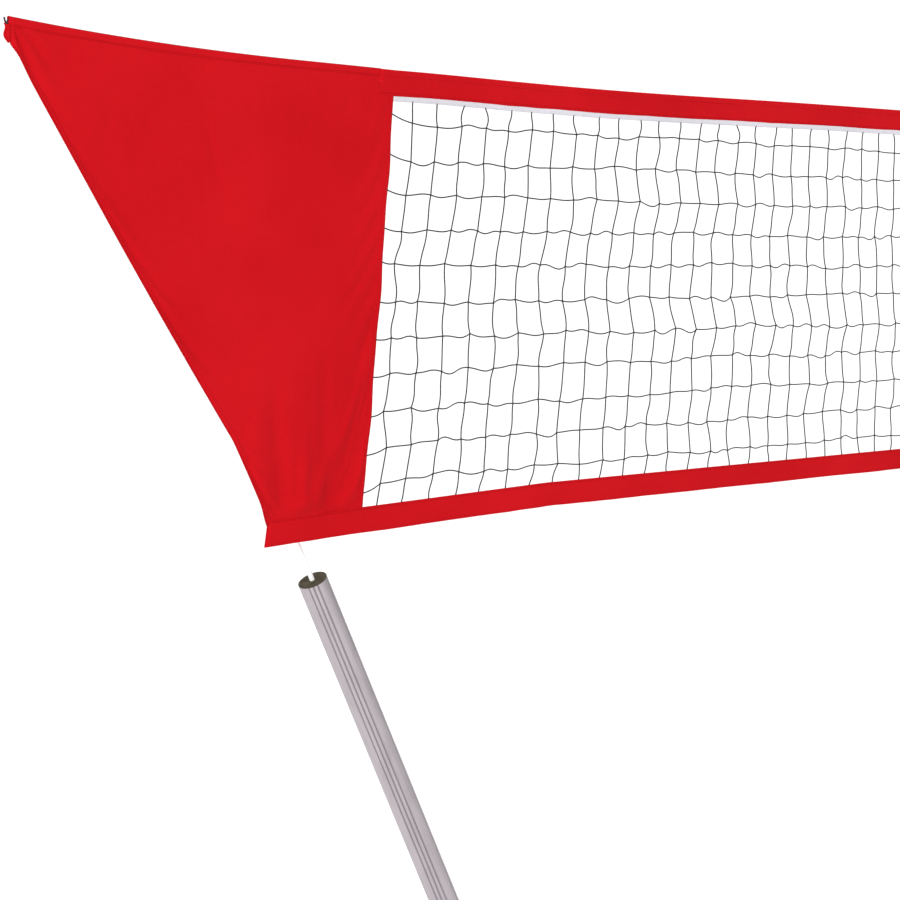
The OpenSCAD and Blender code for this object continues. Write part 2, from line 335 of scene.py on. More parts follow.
def woven(name, dark, light, thread=0.9 * MM):
    """Plain-weave cloth: crossed threads, faint slubs and cloudy colour."""
    n = Nodes(name)
    split = n.add("ShaderNodeSeparateXYZ", Vector=n.coords())
    turn = 2 * math.pi / thread
    warp = n.math("SINE", n.math("MULTIPLY", split.outputs["X"], turn))
    weft = n.math("SINE", n.math("MULTIPLY", split.outputs["Z"], turn))
    weave = n.math("MULTIPLY", warp, weft)
    clouds = n.noise(4.0, 4.0)
    slubs = n.noise(160.0, 2.0)
    shade = n.math("ADD", n.math("MULTIPLY", clouds, 0.7), n.math("MULTIPLY", slubs, 0.3))
    shade = n.math("ADD", shade, n.math("MULTIPLY", weave, 0.05))
    colour = n.ramp(shade, [(0.30, dark), (0.62, light)])
    normal = n.bump(weave, 0.25, 0.12 * MM)
    normal = n.bump(slubs, 0.12, 0.4 * MM, normal)
    roughness = n.math("ADD", n.math("MULTIPLY", slubs, 0.2), 0.75)
    return n.finish(Base_Color=colour, Roughness=roughness, Normal=normal, Specular_IOR_Level=0.06)


def twine(name, dark, light, pitch=3.0 * MM, gloss=0.2):
    """Twisted or braided cord: slanting strands with a little fuzz."""
    n = Nodes(name)
    split = n.add("ShaderNodeSeparateXYZ", Vector=n.coords())
    total = n.math("ADD", n.math("ADD", split.outputs["X"], split.outputs["Y"]), split.outputs["Z"])
    strands = n.math("SINE", n.math("MULTIPLY", total, 2 * math.pi / pitch))
    fuzz = n.noise(900.0, 2.0)
    shade = n.math("ADD", n.math("MULTIPLY", strands, 0.22), fuzz)
    colour = n.ramp(shade, [(0.3, dark), (0.7, light)])
    normal = n.bump(strands, 0.5, 0.3 * MM)
    return n.finish(Base_Color=colour, Roughness=0.75, Normal=normal, Specular_IOR_Level=gloss)


def moulded(name, dark, light, roughness=0.5, gloss=0.4):
    """Moulded plastic with a fine spark-eroded grain."""
    n = Nodes(name)
    grain = n.noise(1400.0, 2.0)
    clouds = n.noise(90.0, 4.0)
    colour = n.ramp(clouds, [(0.35, dark), (0.65, light)])
    rough_map = n.math("ADD", n.math("MULTIPLY", grain, 0.2), roughness - 0.1)
    return n.finish(
        Base_Color=colour, Roughness=rough_map, Normal=n.bump(grain, 0.3, 0.1 * MM),
        Specular_IOR_Level=gloss,
    )


def along_pole(n, side):
    """Object coordinates turned so that Z runs up the leaning pole's axis."""
    from_foot = n.add("ShaderNodeVectorMath", {"operation": "SUBTRACT"})
    n.put(from_foot.inputs[0], n.coords())
    n.put(from_foot.inputs[1], (side * POLE_FOOT_X, 0, 0))
    turned = n.add("ShaderNodeMapping", Vector=from_foot.outputs[0])
    turned.inputs["Rotation"].default_value = (0, -side * LEAN, 0)
    return turned.outputs["Vector"]


def drawn_metal(name, dark, light, side=0, roughness=0.36, metallic=1.0, groove_shade_radius=None):
    """Extruded metal: fine drawing lines up the pole, handling marks, and painted shade darkening its
    grooves, inside the given radius from the axis.
    """
    n = Nodes(name)
    turned = along_pole(n, side)
    stretched = n.add("ShaderNodeMapping", Vector=turned)
    stretched.inputs["Scale"].default_value = (700.0, 700.0, 5.0)
    lines = n.noise(1.0, 2.0, stretched.outputs["Vector"])
    blotches = n.add("ShaderNodeMapping", Vector=turned)
    blotches.inputs["Scale"].default_value = (40.0, 40.0, 12.0)
    patches = n.noise(1.0, 5.0, blotches.outputs["Vector"])
    marks = n.noise(220.0, 3.0)
    shade = n.math("ADD", n.math("MULTIPLY", lines, 0.5), n.math("MULTIPLY", patches, 0.5))
    colour = n.ramp(shade, [(0.35, dark), (0.65, light)])
    # Painted shade: the colour darkens in the grooves, where the surface lies inside the given radius from
    # the pole's axis.
    if groove_shade_radius:
        flat = n.add("ShaderNodeVectorMath", {"operation": "MULTIPLY"})
        n.put(flat.inputs[0], turned)
        n.put(flat.inputs[1], (1, 1, 0))
        radius = n.add("ShaderNodeVectorMath", {"operation": "LENGTH"}, Vector=flat.outputs[0])
        depth = n.math("MULTIPLY", n.math("SUBTRACT", groove_shade_radius, radius.outputs["Value"]), 1 / (0.6 * MM))
        groove_shade = n.add("ShaderNodeClamp", Value=depth, Max=0.55).outputs[0]
        colour = n.mix(groove_shade, colour, [c * 0.35 for c in dark])
    roughness_map = n.math("ADD", n.math("MULTIPLY", patches, 0.22), roughness - 0.1)
    roughness_map = n.math("ADD", roughness_map, n.math("MULTIPLY", marks, 0.06))
    return n.finish(
        Base_Color=colour, Metallic=metallic, Roughness=roughness_map,
        Normal=n.bump(lines, 0.25, 0.08 * MM),
    )


def coated(name, dark, light):
    """Powder-coated steel with orange peel and rubbed spots."""
    n = Nodes(name)
    peel = n.noise(420.0, 2.0)
    wear = n.noise(18.0, 6.0)
    colour = n.ramp(wear, [(0.35, dark), (0.72, light)])
    roughness = n.math("ADD", n.math("MULTIPLY", wear, 0.25), 0.38)
    return n.finish(
        Base_Color=colour, Roughness=roughness, Normal=n.bump(peel, 0.35, 0.2 * MM),
        Specular_IOR_Level=0.4,
    )


def plain_backdrop(name, colour):
    n = Nodes(name)
    return n.finish(Base_Color=(*colour, 1), Roughness=0.9, Specular_IOR_Level=0.1)


RED = woven("red_cloth", (0.420, 0.0024, 0.0058), (0.478, 0.0040, 0.0082))
RED_THREAD = twine(
    "red_thread", (0.40, 0.0022, 0.0052), (0.48, 0.0040, 0.0080), pitch=1.2 * MM, gloss=0.06
)
# Painted shade: a dark maroon thread laid along each banner's top edge draws the dark line of shade there.
EDGE_SHADE_THREAD = twine(
    "edge_shade_thread", (0.10, 0.002, 0.004), (0.20, 0.004, 0.007), pitch=1.2 * MM, gloss=0.1
)
WHITE_WEB = woven("white_webbing", (0.52, 0.505, 0.545), (0.60, 0.585, 0.63), thread=1.6 * MM)
NET_TWINE = twine("netting_twine", (0.012, 0.012, 0.014), (0.045, 0.045, 0.048), pitch=2.2 * MM)
DARK_CORD = twine("dark_cord", (0.020, 0.008, 0.012), (0.070, 0.032, 0.042), pitch=3.4 * MM)
BLACK_PLASTIC = moulded("black_plastic", (0.012, 0.012, 0.013), (0.022, 0.022, 0.024))
# Painted shade: the plug in the tube's open end is coloured dark olive-brown, the shade inside the tube's
# mouth.
PLUG_SHADE_PLASTIC = moulded(
    "plug_painted_shade", (0.030, 0.024, 0.013), (0.062, 0.052, 0.032), roughness=0.7, gloss=0.15
)
FIBREGLASS = moulded("fibreglass", (0.82, 0.82, 0.82), (0.88, 0.88, 0.88), roughness=0.4)
# The aluminium gets painted shade in its grooves, just inside the tube's outer radius.
ALUMINIUM = {
    name: drawn_metal(
        f"{name}_aluminium", (0.360, 0.324, 0.347), (0.462, 0.420, 0.448), side,
        roughness=0.42, metallic=0.85, groove_shade_radius=TUBE_R - 0.15 * MM,
    )
    for name, side in SIDES.items()
}
BRIGHT_STEEL = drawn_metal("bright_steel", (0.42, 0.42, 0.41), (0.60, 0.60, 0.59), roughness=0.3)
COATED_STEEL = coated("coated_steel", (0.022, 0.024, 0.027), (0.045, 0.047, 0.052))

# ---------------------------------------------------------------- camera, lights, stage

# The camera's place is given from a point on the net's top edge, 11 mm inboard of the left seam.
CAMERA_MARK = Vector((-SEAM_TOP_X + 11 * MM, NET_Y, NET_TOP))
CAMERA_FROM_MARK = Vector((-3.572, -3.540, -0.366))
CAMERA_YAW = math.radians(43.6)
CAMERA_PITCH = math.radians(-4.27)
LENS_MM, SENSOR_MM = 101.9, 36
LIGHT_WAY = Vector((-0.82, -0.22, 0.53)).normalized()
SKY_MEAN, SKY_SWING, BACKDROP = 0.93, 0.86, 1.15


def make_camera():
    data = bpy.data.cameras.new("camera")
    data.lens = LENS_MM
    data.sensor_width = SENSOR_MM
    data.clip_end = 200
    camera = bpy.data.objects.new("camera", data)
    camera.location = CAMERA_MARK + CAMERA_FROM_MARK
    camera.rotation_euler = (math.pi / 2 + CAMERA_PITCH, 0, CAMERA_YAW - math.pi / 2)
    bpy.context.scene.collection.objects.link(camera)
    bpy.context.scene.camera = camera


def make_studio():
    """Soft light from all round, stronger from the left and above; the backdrop itself is plain white."""
    world = bpy.data.worlds.new("studio")
    world.use_nodes = True
    tree = world.node_tree
    place = tree.nodes.new("ShaderNodeTexCoord")
    dot = tree.nodes.new("ShaderNodeVectorMath")
    dot.operation = "DOT_PRODUCT"
    dot.inputs[1].default_value = LIGHT_WAY
    swing = tree.nodes.new("ShaderNodeMath")
    swing.operation = "MULTIPLY_ADD"
    swing.inputs[1].default_value = SKY_SWING
    swing.inputs[2].default_value = SKY_MEAN
    path = tree.nodes.new("ShaderNodeLightPath")
    pick = tree.nodes.new("ShaderNodeMix")
    pick.inputs[3].default_value = BACKDROP
    tree.links.new(place.outputs["Generated"], dot.inputs[0])
    tree.links.new(dot.outputs["Value"], swing.inputs[0])
    tree.links.new(path.outputs["Is Camera Ray"], pick.inputs[0])
    tree.links.new(swing.outputs[0], pick.inputs[2])
    tree.links.new(pick.outputs[0], tree.nodes["Background"].inputs["Strength"])
    tree.nodes["Background"].inputs["Color"].default_value = (1, 1, 1, 1)
    bpy.context.scene.world = world
    bpy.context.scene.view_settings.view_transform = "Standard"


def make_floor():
    """A wide pale floor just under the ground plane."""
    size = 60
    corners = [(-size, -size, 0), (size, -size, 0), (size, size, 0), (-size, size, 0)]
    floor = mesh_object(
        "floor", corners, [(0, 1, 2, 3)], plain_backdrop("pale_floor", (0.96, 0.96, 0.96)), None
    )
    floor.location.z = -0.5 * MM


def add_light(name, place, target, size, power):
    data = bpy.data.lights.new(name, "AREA")
    data.shape = "DISK"
    data.size = size
    data.energy = power
    light = bpy.data.objects.new(name, data)
    light.location = place
    light.rotation_euler = (Vector(target) - Vector(place)).to_track_quat("-Z", "Y").to_euler()
    bpy.context.scene.collection.objects.link(light)


make_camera()
make_studio()
make_floor()
add_light("key", place=(-11, -3.5, 5.5), target=(-4, 0, 1.8), size=1.6, power=220)

# ---------------------------------------------------------------- banner cloth

BANNER_GRID = (112, 140)
SETTLE_FRAMES = 22
MOST_SETTLE = 2.5 * MM

# Each crease: its height in mm towards -Y, its foot and its head as (x, z) in metres from the seam's
# top, and the half-width of its ridge.
CREASES = [
    (4, (0.210, -0.90), (0.200, -0.30), 0.110),
    (4, (0.350, -0.86), (0.390, -0.50), 0.020),
    (-8, (0.300, -0.86), (0.330, -0.50), 0.024),
    (-9, (0.190, -0.85), (0.195, -0.42), 0.030),
    (-8, (0.185, -0.86), (0.020, -0.48), 0.022),
    (7, (0.262, -0.87), (0.240, -0.66), 0.020),
    (5, (0.228, -0.87), (0.160, -0.66), 0.018),
    (4, (0.105, -0.86), (0.055, -0.66), 0.026),
    (-2, (0.020, -0.235), (0.36, -0.31), 0.022),
    (-2, (0.030, -0.43), (0.35, -0.47), 0.018),
]


class Cloth:
    """A cloth surface kept as a grid of points, on which hems and stitches can be laid."""

    def __init__(self, columns, rows, place):
        """place(u, t) gives the point at shares u across and t up."""
        self.columns, self.rows = columns, rows
        self.points = [
            place(c / (columns - 1), r / (rows - 1)) for r in range(rows) for c in range(columns)
        ]

    def at(self, u, t):
        c = min(max(u, 0.0), 1.0) * (self.columns - 1)
        r = min(max(t, 0.0), 1.0) * (self.rows - 1)
        c0, r0 = min(int(c), self.columns - 2), min(int(r), self.rows - 2)
        first = r0 * self.columns + c0
        low = self.points[first].lerp(self.points[first + 1], c - c0)
        above = first + self.columns
        high = self.points[above].lerp(self.points[above + 1], c - c0)
        return low.lerp(high, r - r0)

    def width(self, t):
        return (self.at(1, t) - self.at(0, t)).length

    def inward(self, edge, distance, t):
        """The point at a distance from the edge (0 or 1) at share t, or past it if distance is negative."""
        share = distance / self.width(t)
        inside = self.at(abs(edge - max(share, 0.0)), t)
        if share >= 0:
            return inside
        step = (inside - self.at(abs(edge - 0.02), t)).normalized()
        return inside - step * distance


def outer_edge(t):
    """The banner's outer edge from the corner (t 0) to the tip (t 1), as distance and height."""
    low = (CORNER[0] - 6 * MM, CORNER[1] + TAPE_H)
    tip = (TIP_X - 5 * MM, TIP_Z - TIP_H)
    turn = 0.16
    if t < turn:
        s = t / turn
        bow = 5 * MM * math.sin(math.pi * s)
        return lerp(low[0], KNEE[0], s) - bow * 0.5, lerp(low[1], KNEE[1], s)
    s = (t - turn) / (1 - turn)
    bow = 10 * MM * math.sin(math.pi * s) * (1 - 1.1 * s)
    return lerp(KNEE[0], tip[0], s) + bow, lerp(KNEE[1], tip[1], s)


def crease(x, z, foot, head, width):
    """A long narrow fold from its foot to its head, 1 along its middle and fading at its ends."""
    ax, az = foot
    bx, bz = head
    run = math.hypot(bx - ax, bz - az)
    along = ((x - ax) * (bx - ax) + (z - az) * (bz - az)) / run
    across = ((x - ax) * (bz - az) - (z - az) * (bx - ax)) / run
    ends = smooth((along + 0.02) / 0.06) * smooth((run - along) / (run * 0.6))
    return ends * math.exp(-((across / width) ** 2))


def folds(x, z, side):
    """How far the cloth stands towards -Y at a point, in metres, before it relaxes."""
    from_tip = math.hypot(TIP_X - x, TIP_Z - 20 * MM - z)
    angle = math.atan2(TIP_Z - z, TIP_X - x + 5 * MM)
    gathers = math.sin(angle * 17 + 1.7 * rough(x, z, 0.12, 3.1 * side))
    push = 5 * MM * gathers * math.exp(-from_tip / 0.10) * smooth(from_tip / 0.02)
    s, h = x - SEAM_TOP_X, z - NET_TOP
    for height, foot, head, width in CREASES:
        push += height * MM * crease(s, h, foot, head, width)
    push += 2.5 * MM * rough(x, z * 0.7, 0.30, 1.3 * side) + 0.5 * MM * rough(x, z, 0.09, 6.1)
    return push


def calm(x, z):
    """1 inside the cloth, falling to 0 at its stitched edges and at the pocket on its back."""
    to_seam = abs(x - seam_x(z))
    to_foot = z - foot_z(x) - TAPE_H
    to_top = top_z(x) - z
    fade = 0.05
    still = smooth(to_seam / fade) * smooth((to_foot + 0.012) / fade) * smooth(to_top / fade)
    over_x = max(-pocket_high.x - x, x + pocket_low.x, 0.0)
    over_z = max(pocket_low.z - z, z - pocket_high.z, 0.0)
    return still * smooth(math.hypot(over_x, over_z) / fade)


def banner_point(u, t, side):
    """The banner at shares u from seam to outer edge and t from foot to top, tucked into tape and hem."""
    tip_share = 0.96
    low_z = SEAM_LOW_Z + TAPE_H - TUCK
    z_in = lerp(low_z, NET_TOP - TUCK, t)
    x_out, z_out = outer_edge(min(1.0, t / tip_share))
    if t > tip_share:
        rise = (t - tip_share) / (1 - tip_share)
        x_out, z_out = lerp(x_out, TIP_X, rise), lerp(z_out, TIP_Z - TUCK, rise)
    x = lerp(seam_x(z_in), x_out, u)
    z = lerp(z_in, z_out, u)
    straight = lerp(NET_TOP, TIP_Z, u)
    z += (top_z(x) - straight) * t**3
    z -= TUCK * u * (1 - t) ** 12
    y = NET_Y - folds(x, z, side) * calm(x, z)
    return Vector((side * x, y, z))


def relax(cloth, side):
    """Lets the cloth settle between its sewn edges, with a little more cloth than space."""
    flip = side > 0
    obj = mesh_object("relaxing", cloth.points, grid_faces(cloth.columns, cloth.rows, flip), RED, None)
    pins = obj.vertex_groups.new(name="pins")
    last_c, last_r = cloth.columns - 1, cloth.rows - 1
    for i, p in enumerate(cloth.points):
        r, c = divmod(i, cloth.columns)
        held = r <= 2 or r >= last_r - 2 or c <= 1 or c >= last_c - 1 or calm(abs(p.x), p.z) < 0.02
        pins.add([i], 1.0 if held else 0.0, "REPLACE")
    modifier = obj.modifiers.new("cloth", "CLOTH")
    settings = modifier.settings
    settings.quality = 5
    settings.mass = 0.12
    settings.tension_stiffness = settings.compression_stiffness = 20
    settings.shear_stiffness = 10
    settings.bending_stiffness = 3.0
    settings.air_damping = 3
    settings.vertex_group_mass = "pins"
    settings.shrink_min = -0.0015
    modifier.collision_settings.use_collision = False
    scene = bpy.context.scene
    modifier.point_cache.frame_start = 1
    modifier.point_cache.frame_end = SETTLE_FRAMES
    for step in range(1, SETTLE_FRAMES + 1):
        scene.frame_set(step)
    settled = obj.evaluated_get(bpy.context.evaluated_depsgraph_get())
    places = np.zeros(len(cloth.points) * 3)
    settled.data.vertices.foreach_get("co", places)
    moved = places.reshape(-1, 3) - np.array([tuple(p) for p in cloth.points])
    size = np.linalg.norm(moved, axis=1, keepdims=True)
    moved *= np.minimum(1.0, MOST_SETTLE / np.maximum(size, 1e-9))
    cloth.points = [p + Vector(m) for p, m in zip(cloth.points, moved.tolist())]
    scene.frame_set(1)
    bpy.data.objects.remove(obj)
    print(f"cloth moved {size.max() * 1000:.1f} mm at most, {size.mean() * 1000:.1f} mm on average")


def thicken(obj, thickness):
    apply_modifier(obj, "SOLIDIFY", thickness=thickness, offset=0, use_quality_normals=True)
    return obj


def edge_hem(name, cloth, edge, side):
    """A turned hem along one upright edge of the cloth, a little thicker than the cloth."""
    across, rows = (-0.6 * MM, 2 * MM, HEM_W / 2, HEM_W - 2 * MM, HEM_W), cloth.rows
    points = [cloth.inward(edge, d, r / (rows - 1)) for r in range(rows) for d in across]
    flip = (side > 0) != (edge == 1)
    hem = mesh_object(name, points, grid_faces(len(across), rows, flip), RED)
    return thicken(hem, HEM_T)


def edge_path(cloth, edge, distance, steps=160):
    """Points along an upright edge (0 or 1) of the cloth, at a distance inside it."""
    return [cloth.inward(edge, distance, s / steps) for s in range(steps + 1)]


def overcast(threads, cloth, edge):
    """Slanting overcast threads round the very edge of the cloth."""
    for a, b in even_points(edge_path(cloth, edge, -0.6 * MM), 4 * MM, 1.6 * MM):
        way = (a - cloth.points[len(cloth.points) // 2]).normalized() * 0.5 * MM
        inside = (b - a).cross(Vector((0, 1, 0))).normalized() * 3 * MM
        if inside.dot(way) > 0:
            inside = -inside
        out = Vector((0, 1.7 * MM, 0))
        threads.add([a + inside - out, a - out * 0.9, a + way, b + out * 0.9, b + inside + out], 0.4 * MM)


def tip_tab(side):
    """The loose end of the slanting hem, pinched and wavy, beyond the banner's tip."""
    columns, rows = 9, 14

    def place(u, t):
        reach = lerp(8, 9.5, smooth((t - 0.4) / 0.5)) - 6 * smooth((t - 0.88) / 0.12)
        reach -= 1.3 * math.sin(t * 7)
        x = TIP_X - 3 * MM + u * (reach + 3) * MM
        z = TIP_Z - 12 * MM - t * (31 + 2 * math.sin(u * 4)) * MM
        y = NET_Y - (1.5 * math.sin(u * 6 + t * 3) + 1.2 * math.sin(t * 9)) * MM * u
        return Vector((side * x, y, z))

    cloth = Cloth(columns, rows, place)
    return mesh_object("tab", cloth.points, grid_faces(columns, rows, side < 0), RED)


def clear_of_poles(p):
    """Holds back the folds that stand towards the poles, which pass behind when the net comes down."""
    room = POLE_ROOM - CLOTH_T
    behind = p.y - NET_Y
    if behind > 0:
        behind = room * math.tanh(behind / room)
    return Vector((p.x, NET_Y + behind, p.z))


def build_banner(name, side):
    """One banner: relaxed cloth, three hems, the loose tab, all its threads, and a dark thread along its top
    edge as painted shade.
    """
    cloth = Cloth(*BANNER_GRID, lambda u, t: banner_point(u, t, side))
    relax(cloth, side)
    cloth.points = [clear_of_poles(p) for p in cloth.points]
    sheet = mesh_object(
        f"{name}_banner_cloth", cloth.points, grid_faces(cloth.columns, cloth.rows, side > 0), RED
    )
    thicken(sheet, CLOTH_T)
    seam_hem = edge_hem(f"{name}_seam_hem", cloth, 0, side)
    outer_hem = edge_hem(f"{name}_outer_hem", cloth, 1, side)
    ends = sorted((side * (SEAM_TOP_X + TAPE_LAP - 6 * MM), side * TIP_X))
    top_hem = band(
        f"{name}_top_hem", *ends, top_z,
        folded(TOP_HEM_H, HEM_R, CLOTH_T / 2 + 0.1 * MM), RED, step=0.010,
    )
    tab = tip_tab(side)
    tab.name = tab.data.name = f"{name}_tip_tab_cloth"
    thicken(tab, TAB_T)
    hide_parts(f"{name}_tip_tab")
    threads = Tubes(4)
    for edge in (0, 1):
        stitch_row(threads, edge_path(cloth, edge, 2.5 * MM), 0.95 * MM)
        stitch_row(threads, edge_path(cloth, edge, HEM_W - 2.5 * MM), 0.95 * MM)
    low_line = [Vector((x, NET_Y, top_z(x) - 13 * MM)) for x in np.linspace(*ends, 80).tolist()]
    stitch_row(threads, low_line, 1.5 * MM)
    stitching = threads.build(f"{name}_banner_stitching", RED_THREAD, "red_fabric")
    edge_threads = Tubes(4)
    overcast(edge_threads, cloth, 1)
    edging = edge_threads.build(f"{name}_edge_overcast", RED_THREAD, "red_fabric")
    # Painted shade: a thin dark maroon thread along the very top edge stands in for the dark line of shade
    # there.
    top_line = [Vector((x, NET_Y, top_z(x) + 0.1 * MM)) for x in np.linspace(*ends, 120).tolist()]
    top_shade_tube = Tubes(4)
    top_shade_tube.add(top_line, 0.45 * MM)
    edge_shade_line = top_shade_tube.build(f"{name}_top_edge_shade_line", EDGE_SHADE_THREAD, "red_fabric")
    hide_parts(f"{name}_banner")


# ---------------------------------------------------------------- tapes and hems


def folded(height, radius, gap, foot=False):
    """Outline (y, z) of a cloth band folded over a round of this radius, its skirts gap off the middle."""
    half = gap + LAYER
    turn = [math.radians(90 - a * 15) for a in range(13)]
    neck = -3.2 * radius

    def side_line(y, r):
        skirt = [(-y * 0.5, -height), (-y * 0.75, -height + 3 * MM), (-y, -height * 0.7), (-y, neck)]
        arc = [(-r * math.sin(a), r * math.cos(a) - radius) for a in turn]
        return skirt + arc + [(y, z) for _, z in skirt[::-1]]

    outline = side_line(half, radius) + side_line(gap, radius - LAYER)[::-1]
    if foot:
        outline = [(y, -height - z) for y, z in outline][::-1]
    return outline


def flat_band(height, thick):
    """Outline of a plain webbing band with eased edges."""
    half, ease = thick / 2, 0.3 * thick
    return [
        (-half + ease, -height), (-half, -height + ease), (-half, -height / 2), (-half, -ease),
        (-half + ease, 0), (half - ease, 0), (half, -ease), (half, -height / 2),
        (half, -height + ease), (half - ease, -height),
    ]


def band(name, low_x, high_x, edge_z, outline, material, step=0.012, ripple=1.0, slant=0.0, ease=0.0):
    """Sweeps an outline along X, its top at edge_z, with small waves.

    slant draws its top corners in; ease thins its skirts at both ends, where it lies on other cloth.
    """
    n = max(2, int((high_x - low_x) / step))
    height = -min(z for _, z in outline)
    points = []
    for i in range(n + 1):
        x = lerp(low_x, high_x, i / n)
        top = edge_z(x)
        lift = (1.3 * rough(x, 0, 0.17, 4.4) + 0.6 * rough(x, 0, 0.05, 9.1)) * MM * ripple
        draw_in = slant * smooth(1 - (high_x - abs(x)) / 0.06) * (1 if x > 0 else -1)
        thin = ease * smooth(1 - min(high_x - x, x - low_x) / 0.02)
        for y, z in outline:
            depth = -z / height
            y *= 1 - thin * smooth((-z - THIN_FROM) / THIN_OVER)
            sway = (1.8 * rough(x, z, 0.12, 7.7) + 0.6 * rough(x, z, 0.035, 2.9)) * MM * ripple
            along = x - draw_in * (1 - depth)
            points.append((along, NET_Y + y + sway * depth * (1 - depth) * 2, top + z + lift * depth))
    return mesh_object(name, points, swept_faces(n, len(outline)), material)


def level_line(low_x, high_x, edge_z, drop, step=0.05):
    """Points along a tape, at a drop below its upper edge."""
    count = int((high_x - low_x) / step)
    xs = [lerp(low_x, high_x, i / count) for i in range(count + 1)]
    return [Vector((x, NET_Y, edge_z(x) - drop)) for x in xs]


def foot_edge(x):
    """Height of the bottom tape's upper edge at distance x from the middle."""
    return foot_z(x) + TAPE_H


def build_tapes():
    """The top tape, the bottom tape and the header strip that the netting is laced to."""
    reach = 2 * (SEAM_TOP_X + TAPE_LAP)
    clear = SEAM_TOP_X + 9 * MM
    step, length = 9 * MM, 6 * MM
    top = band(
        "top_tape_cloth", -reach / 2, reach / 2, top_z,
        folded(TAPE_H, HEM_R + 0.2 * MM, TAPE_GAP), RED, ease=0.5,
    )
    foot = band(
        "bottom_tape_cloth", -CORNER[0], CORNER[0], foot_edge,
        folded(TAPE_H, FOOT_R, FOOT_GAP, foot=True), RED, ripple=0.8, slant=9 * MM,
    )
    header = band(
        "header_webbing", -clear, clear, lambda x: top_z(x) - TAPE_H + 6 * MM,
        flat_band(HEADER_H + 6 * MM, 1.2 * MM), WHITE_WEB, ripple=0.4,
    )
    threads = Tubes(4)
    for drop in (3.8 * HEM_R, TAPE_H - 4 * MM):
        line = level_line(-reach / 2, reach / 2, top_z, drop)
        stitch_row(threads, line, 1.6 * MM, step, length)
    for drop in (3.5 * MM, TAPE_H - 5 * MM):
        line = level_line(-CORNER[0], CORNER[0], foot_edge, drop)
        stitch_row(threads, line, 2.3 * MM, step, length)
    stitching = threads.build("tape_stitching", RED_THREAD, "red_fabric")
    for piece, slot, node in (
        (top, "red_fabric", "top_tape"),
        (foot, "red_fabric", "bottom_tape"),
        (header, "white_webbing", "header_strip"),
    ):
        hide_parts(node)


# ---------------------------------------------------------------- top cord

# The cord's end beyond each tip, in mm outwards, backwards and upwards from the tip.
CORD_END = [
    (-1.4, 1.6, -2.5), (-0.8, 2.4, -6.0), (1.5, 1.4, -9.2),
    (4.5, 0, -8.8), (6.8, -0.4, -4.5), (8.6, -0.8, 1.2),
]
WRAP_R, WRAP_POINTS = 1.6 * MM, 24


def build_cord():
    """The cord through the top hems; past each tip it is knotted and its cut end turns up."""

    def centre(x):
        return Vector((x, NET_Y, top_z(x) - HEM_R))

    last, steps = TIP_X - 4 * MM, 240
    path = [centre(lerp(-last, last, i / steps)) for i in range(steps + 1)]
    line = Tubes(10)
    knot_x = TIP_X + 3 * MM
    for side in (-1, 1):
        base = centre(side * TIP_X)
        end = [base + Vector((side * out * MM, back * MM, up * MM)) for out, back, up in CORD_END]
        path = end[::-1] + path if side < 0 else path + end
        wraps = [
            Vector((
                side * (knot_x - WRAP_R + 2 * WRAP_R * a / WRAP_POINTS),
                NET_Y + WRAP_R * math.cos(a * 0.9),
                base.z - 8.5 * MM + WRAP_R * math.sin(a * 0.9),
            ))
            for a in range(WRAP_POINTS + 1)
        ]
        line.add(wraps, 1.0 * MM)
    line.add(path, lambda t: CORD_R * (0.8 if t < 0.01 or t > 0.99 else 1.0))
    cord = line.build("top_cord_line", DARK_CORD, "dark_cord")
    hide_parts("top_cord")


# ---------------------------------------------------------------- webbing pocket behind each banner


def build_pocket(name, side):
    """The inverted channel of cloth that the mast's hook holds up and slides along."""
    low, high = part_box(f"{name}_pocket")
    depth, height, r = high.y - low.y, high.z - low.z, 5 * MM

    def outline(inset):
        near, far, top = inset, depth - inset, height - inset
        bend = r - inset
        left = [(near, 0), (near, height * 0.35), (near, height * 0.7)]
        arc_a = [
            (near + bend - bend * math.cos(math.radians(a)), top - bend + bend * math.sin(math.radians(a)))
            for a in range(0, 91, 15)
        ]
        arc_b = [(depth - y, z) for y, z in arc_a[::-1]]
        right = [(far, z) for _, z in left[::-1]]
        return left + arc_a + arc_b + right

    def hung(x, y, z):
        """A point of the channel; its free back leg waves a little towards its lower edge."""
        loose = (1 - z / height) * smooth(y / depth)
        wave = (1.2 * rough(x, z, 0.05, 3.3) + 0.6 * math.sin(x * 160)) * MM * loose
        return Vector((x, low.y + y + wave, low.z + z))

    loop = outline(0) + outline(POCKET_WALL)[::-1]
    steps = 44
    xs = [lerp(low.x, high.x, i / steps) for i in range(steps + 1)]
    points = [hung(x, y, z) for x in xs for y, z in loop]
    channel = mesh_object(f"{name}_pocket_webbing", points, swept_faces(steps, len(loop)), RED)
    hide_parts(f"{name}_pocket")
    threads = Tubes(4)
    middle = depth - POCKET_WALL / 2
    for z in (4 * MM, 9 * MM):
        stitch_row(threads, [hung(x, middle, z) for x in xs], POCKET_WALL / 2 + 0.1 * MM)
    stitching = threads.build(f"{name}_pocket_stitching", RED_THREAD, "red_fabric")


# ---------------------------------------------------------------- netting


STRAND_STEPS = 8
END_STEPS = 6
KNOT_REACH = 2.2 * MM


def wobble(most, across, down, seed):
    """Fixed smooth noise of up to about most millimetres, in metres."""
    return most * MM * noise.noise(Vector((across, down, seed)))


def near_seam(x):
    """1 beside the banner's seam, fading towards the middle of the net."""
    return math.exp(-(SEAM_TOP_X - abs(x)) / 0.6)


def jog(i, j, x0):
    """Sideways and upward wander of the knot at column i and row j; a whole row drifts together."""
    wander = wobble(20 + 16 * near_seam(x0), i * 0.045, j * 1.7 + 0.4, 3.7)
    wander += wobble(9, i * 0.9, j * 1.3, 5.7)
    lift = wobble(6, i * 0.17, j * 0.8, 9.7)
    lift += wobble(7.5, i * 1.37, j * 0.9, 13.7)
    return wander, lift


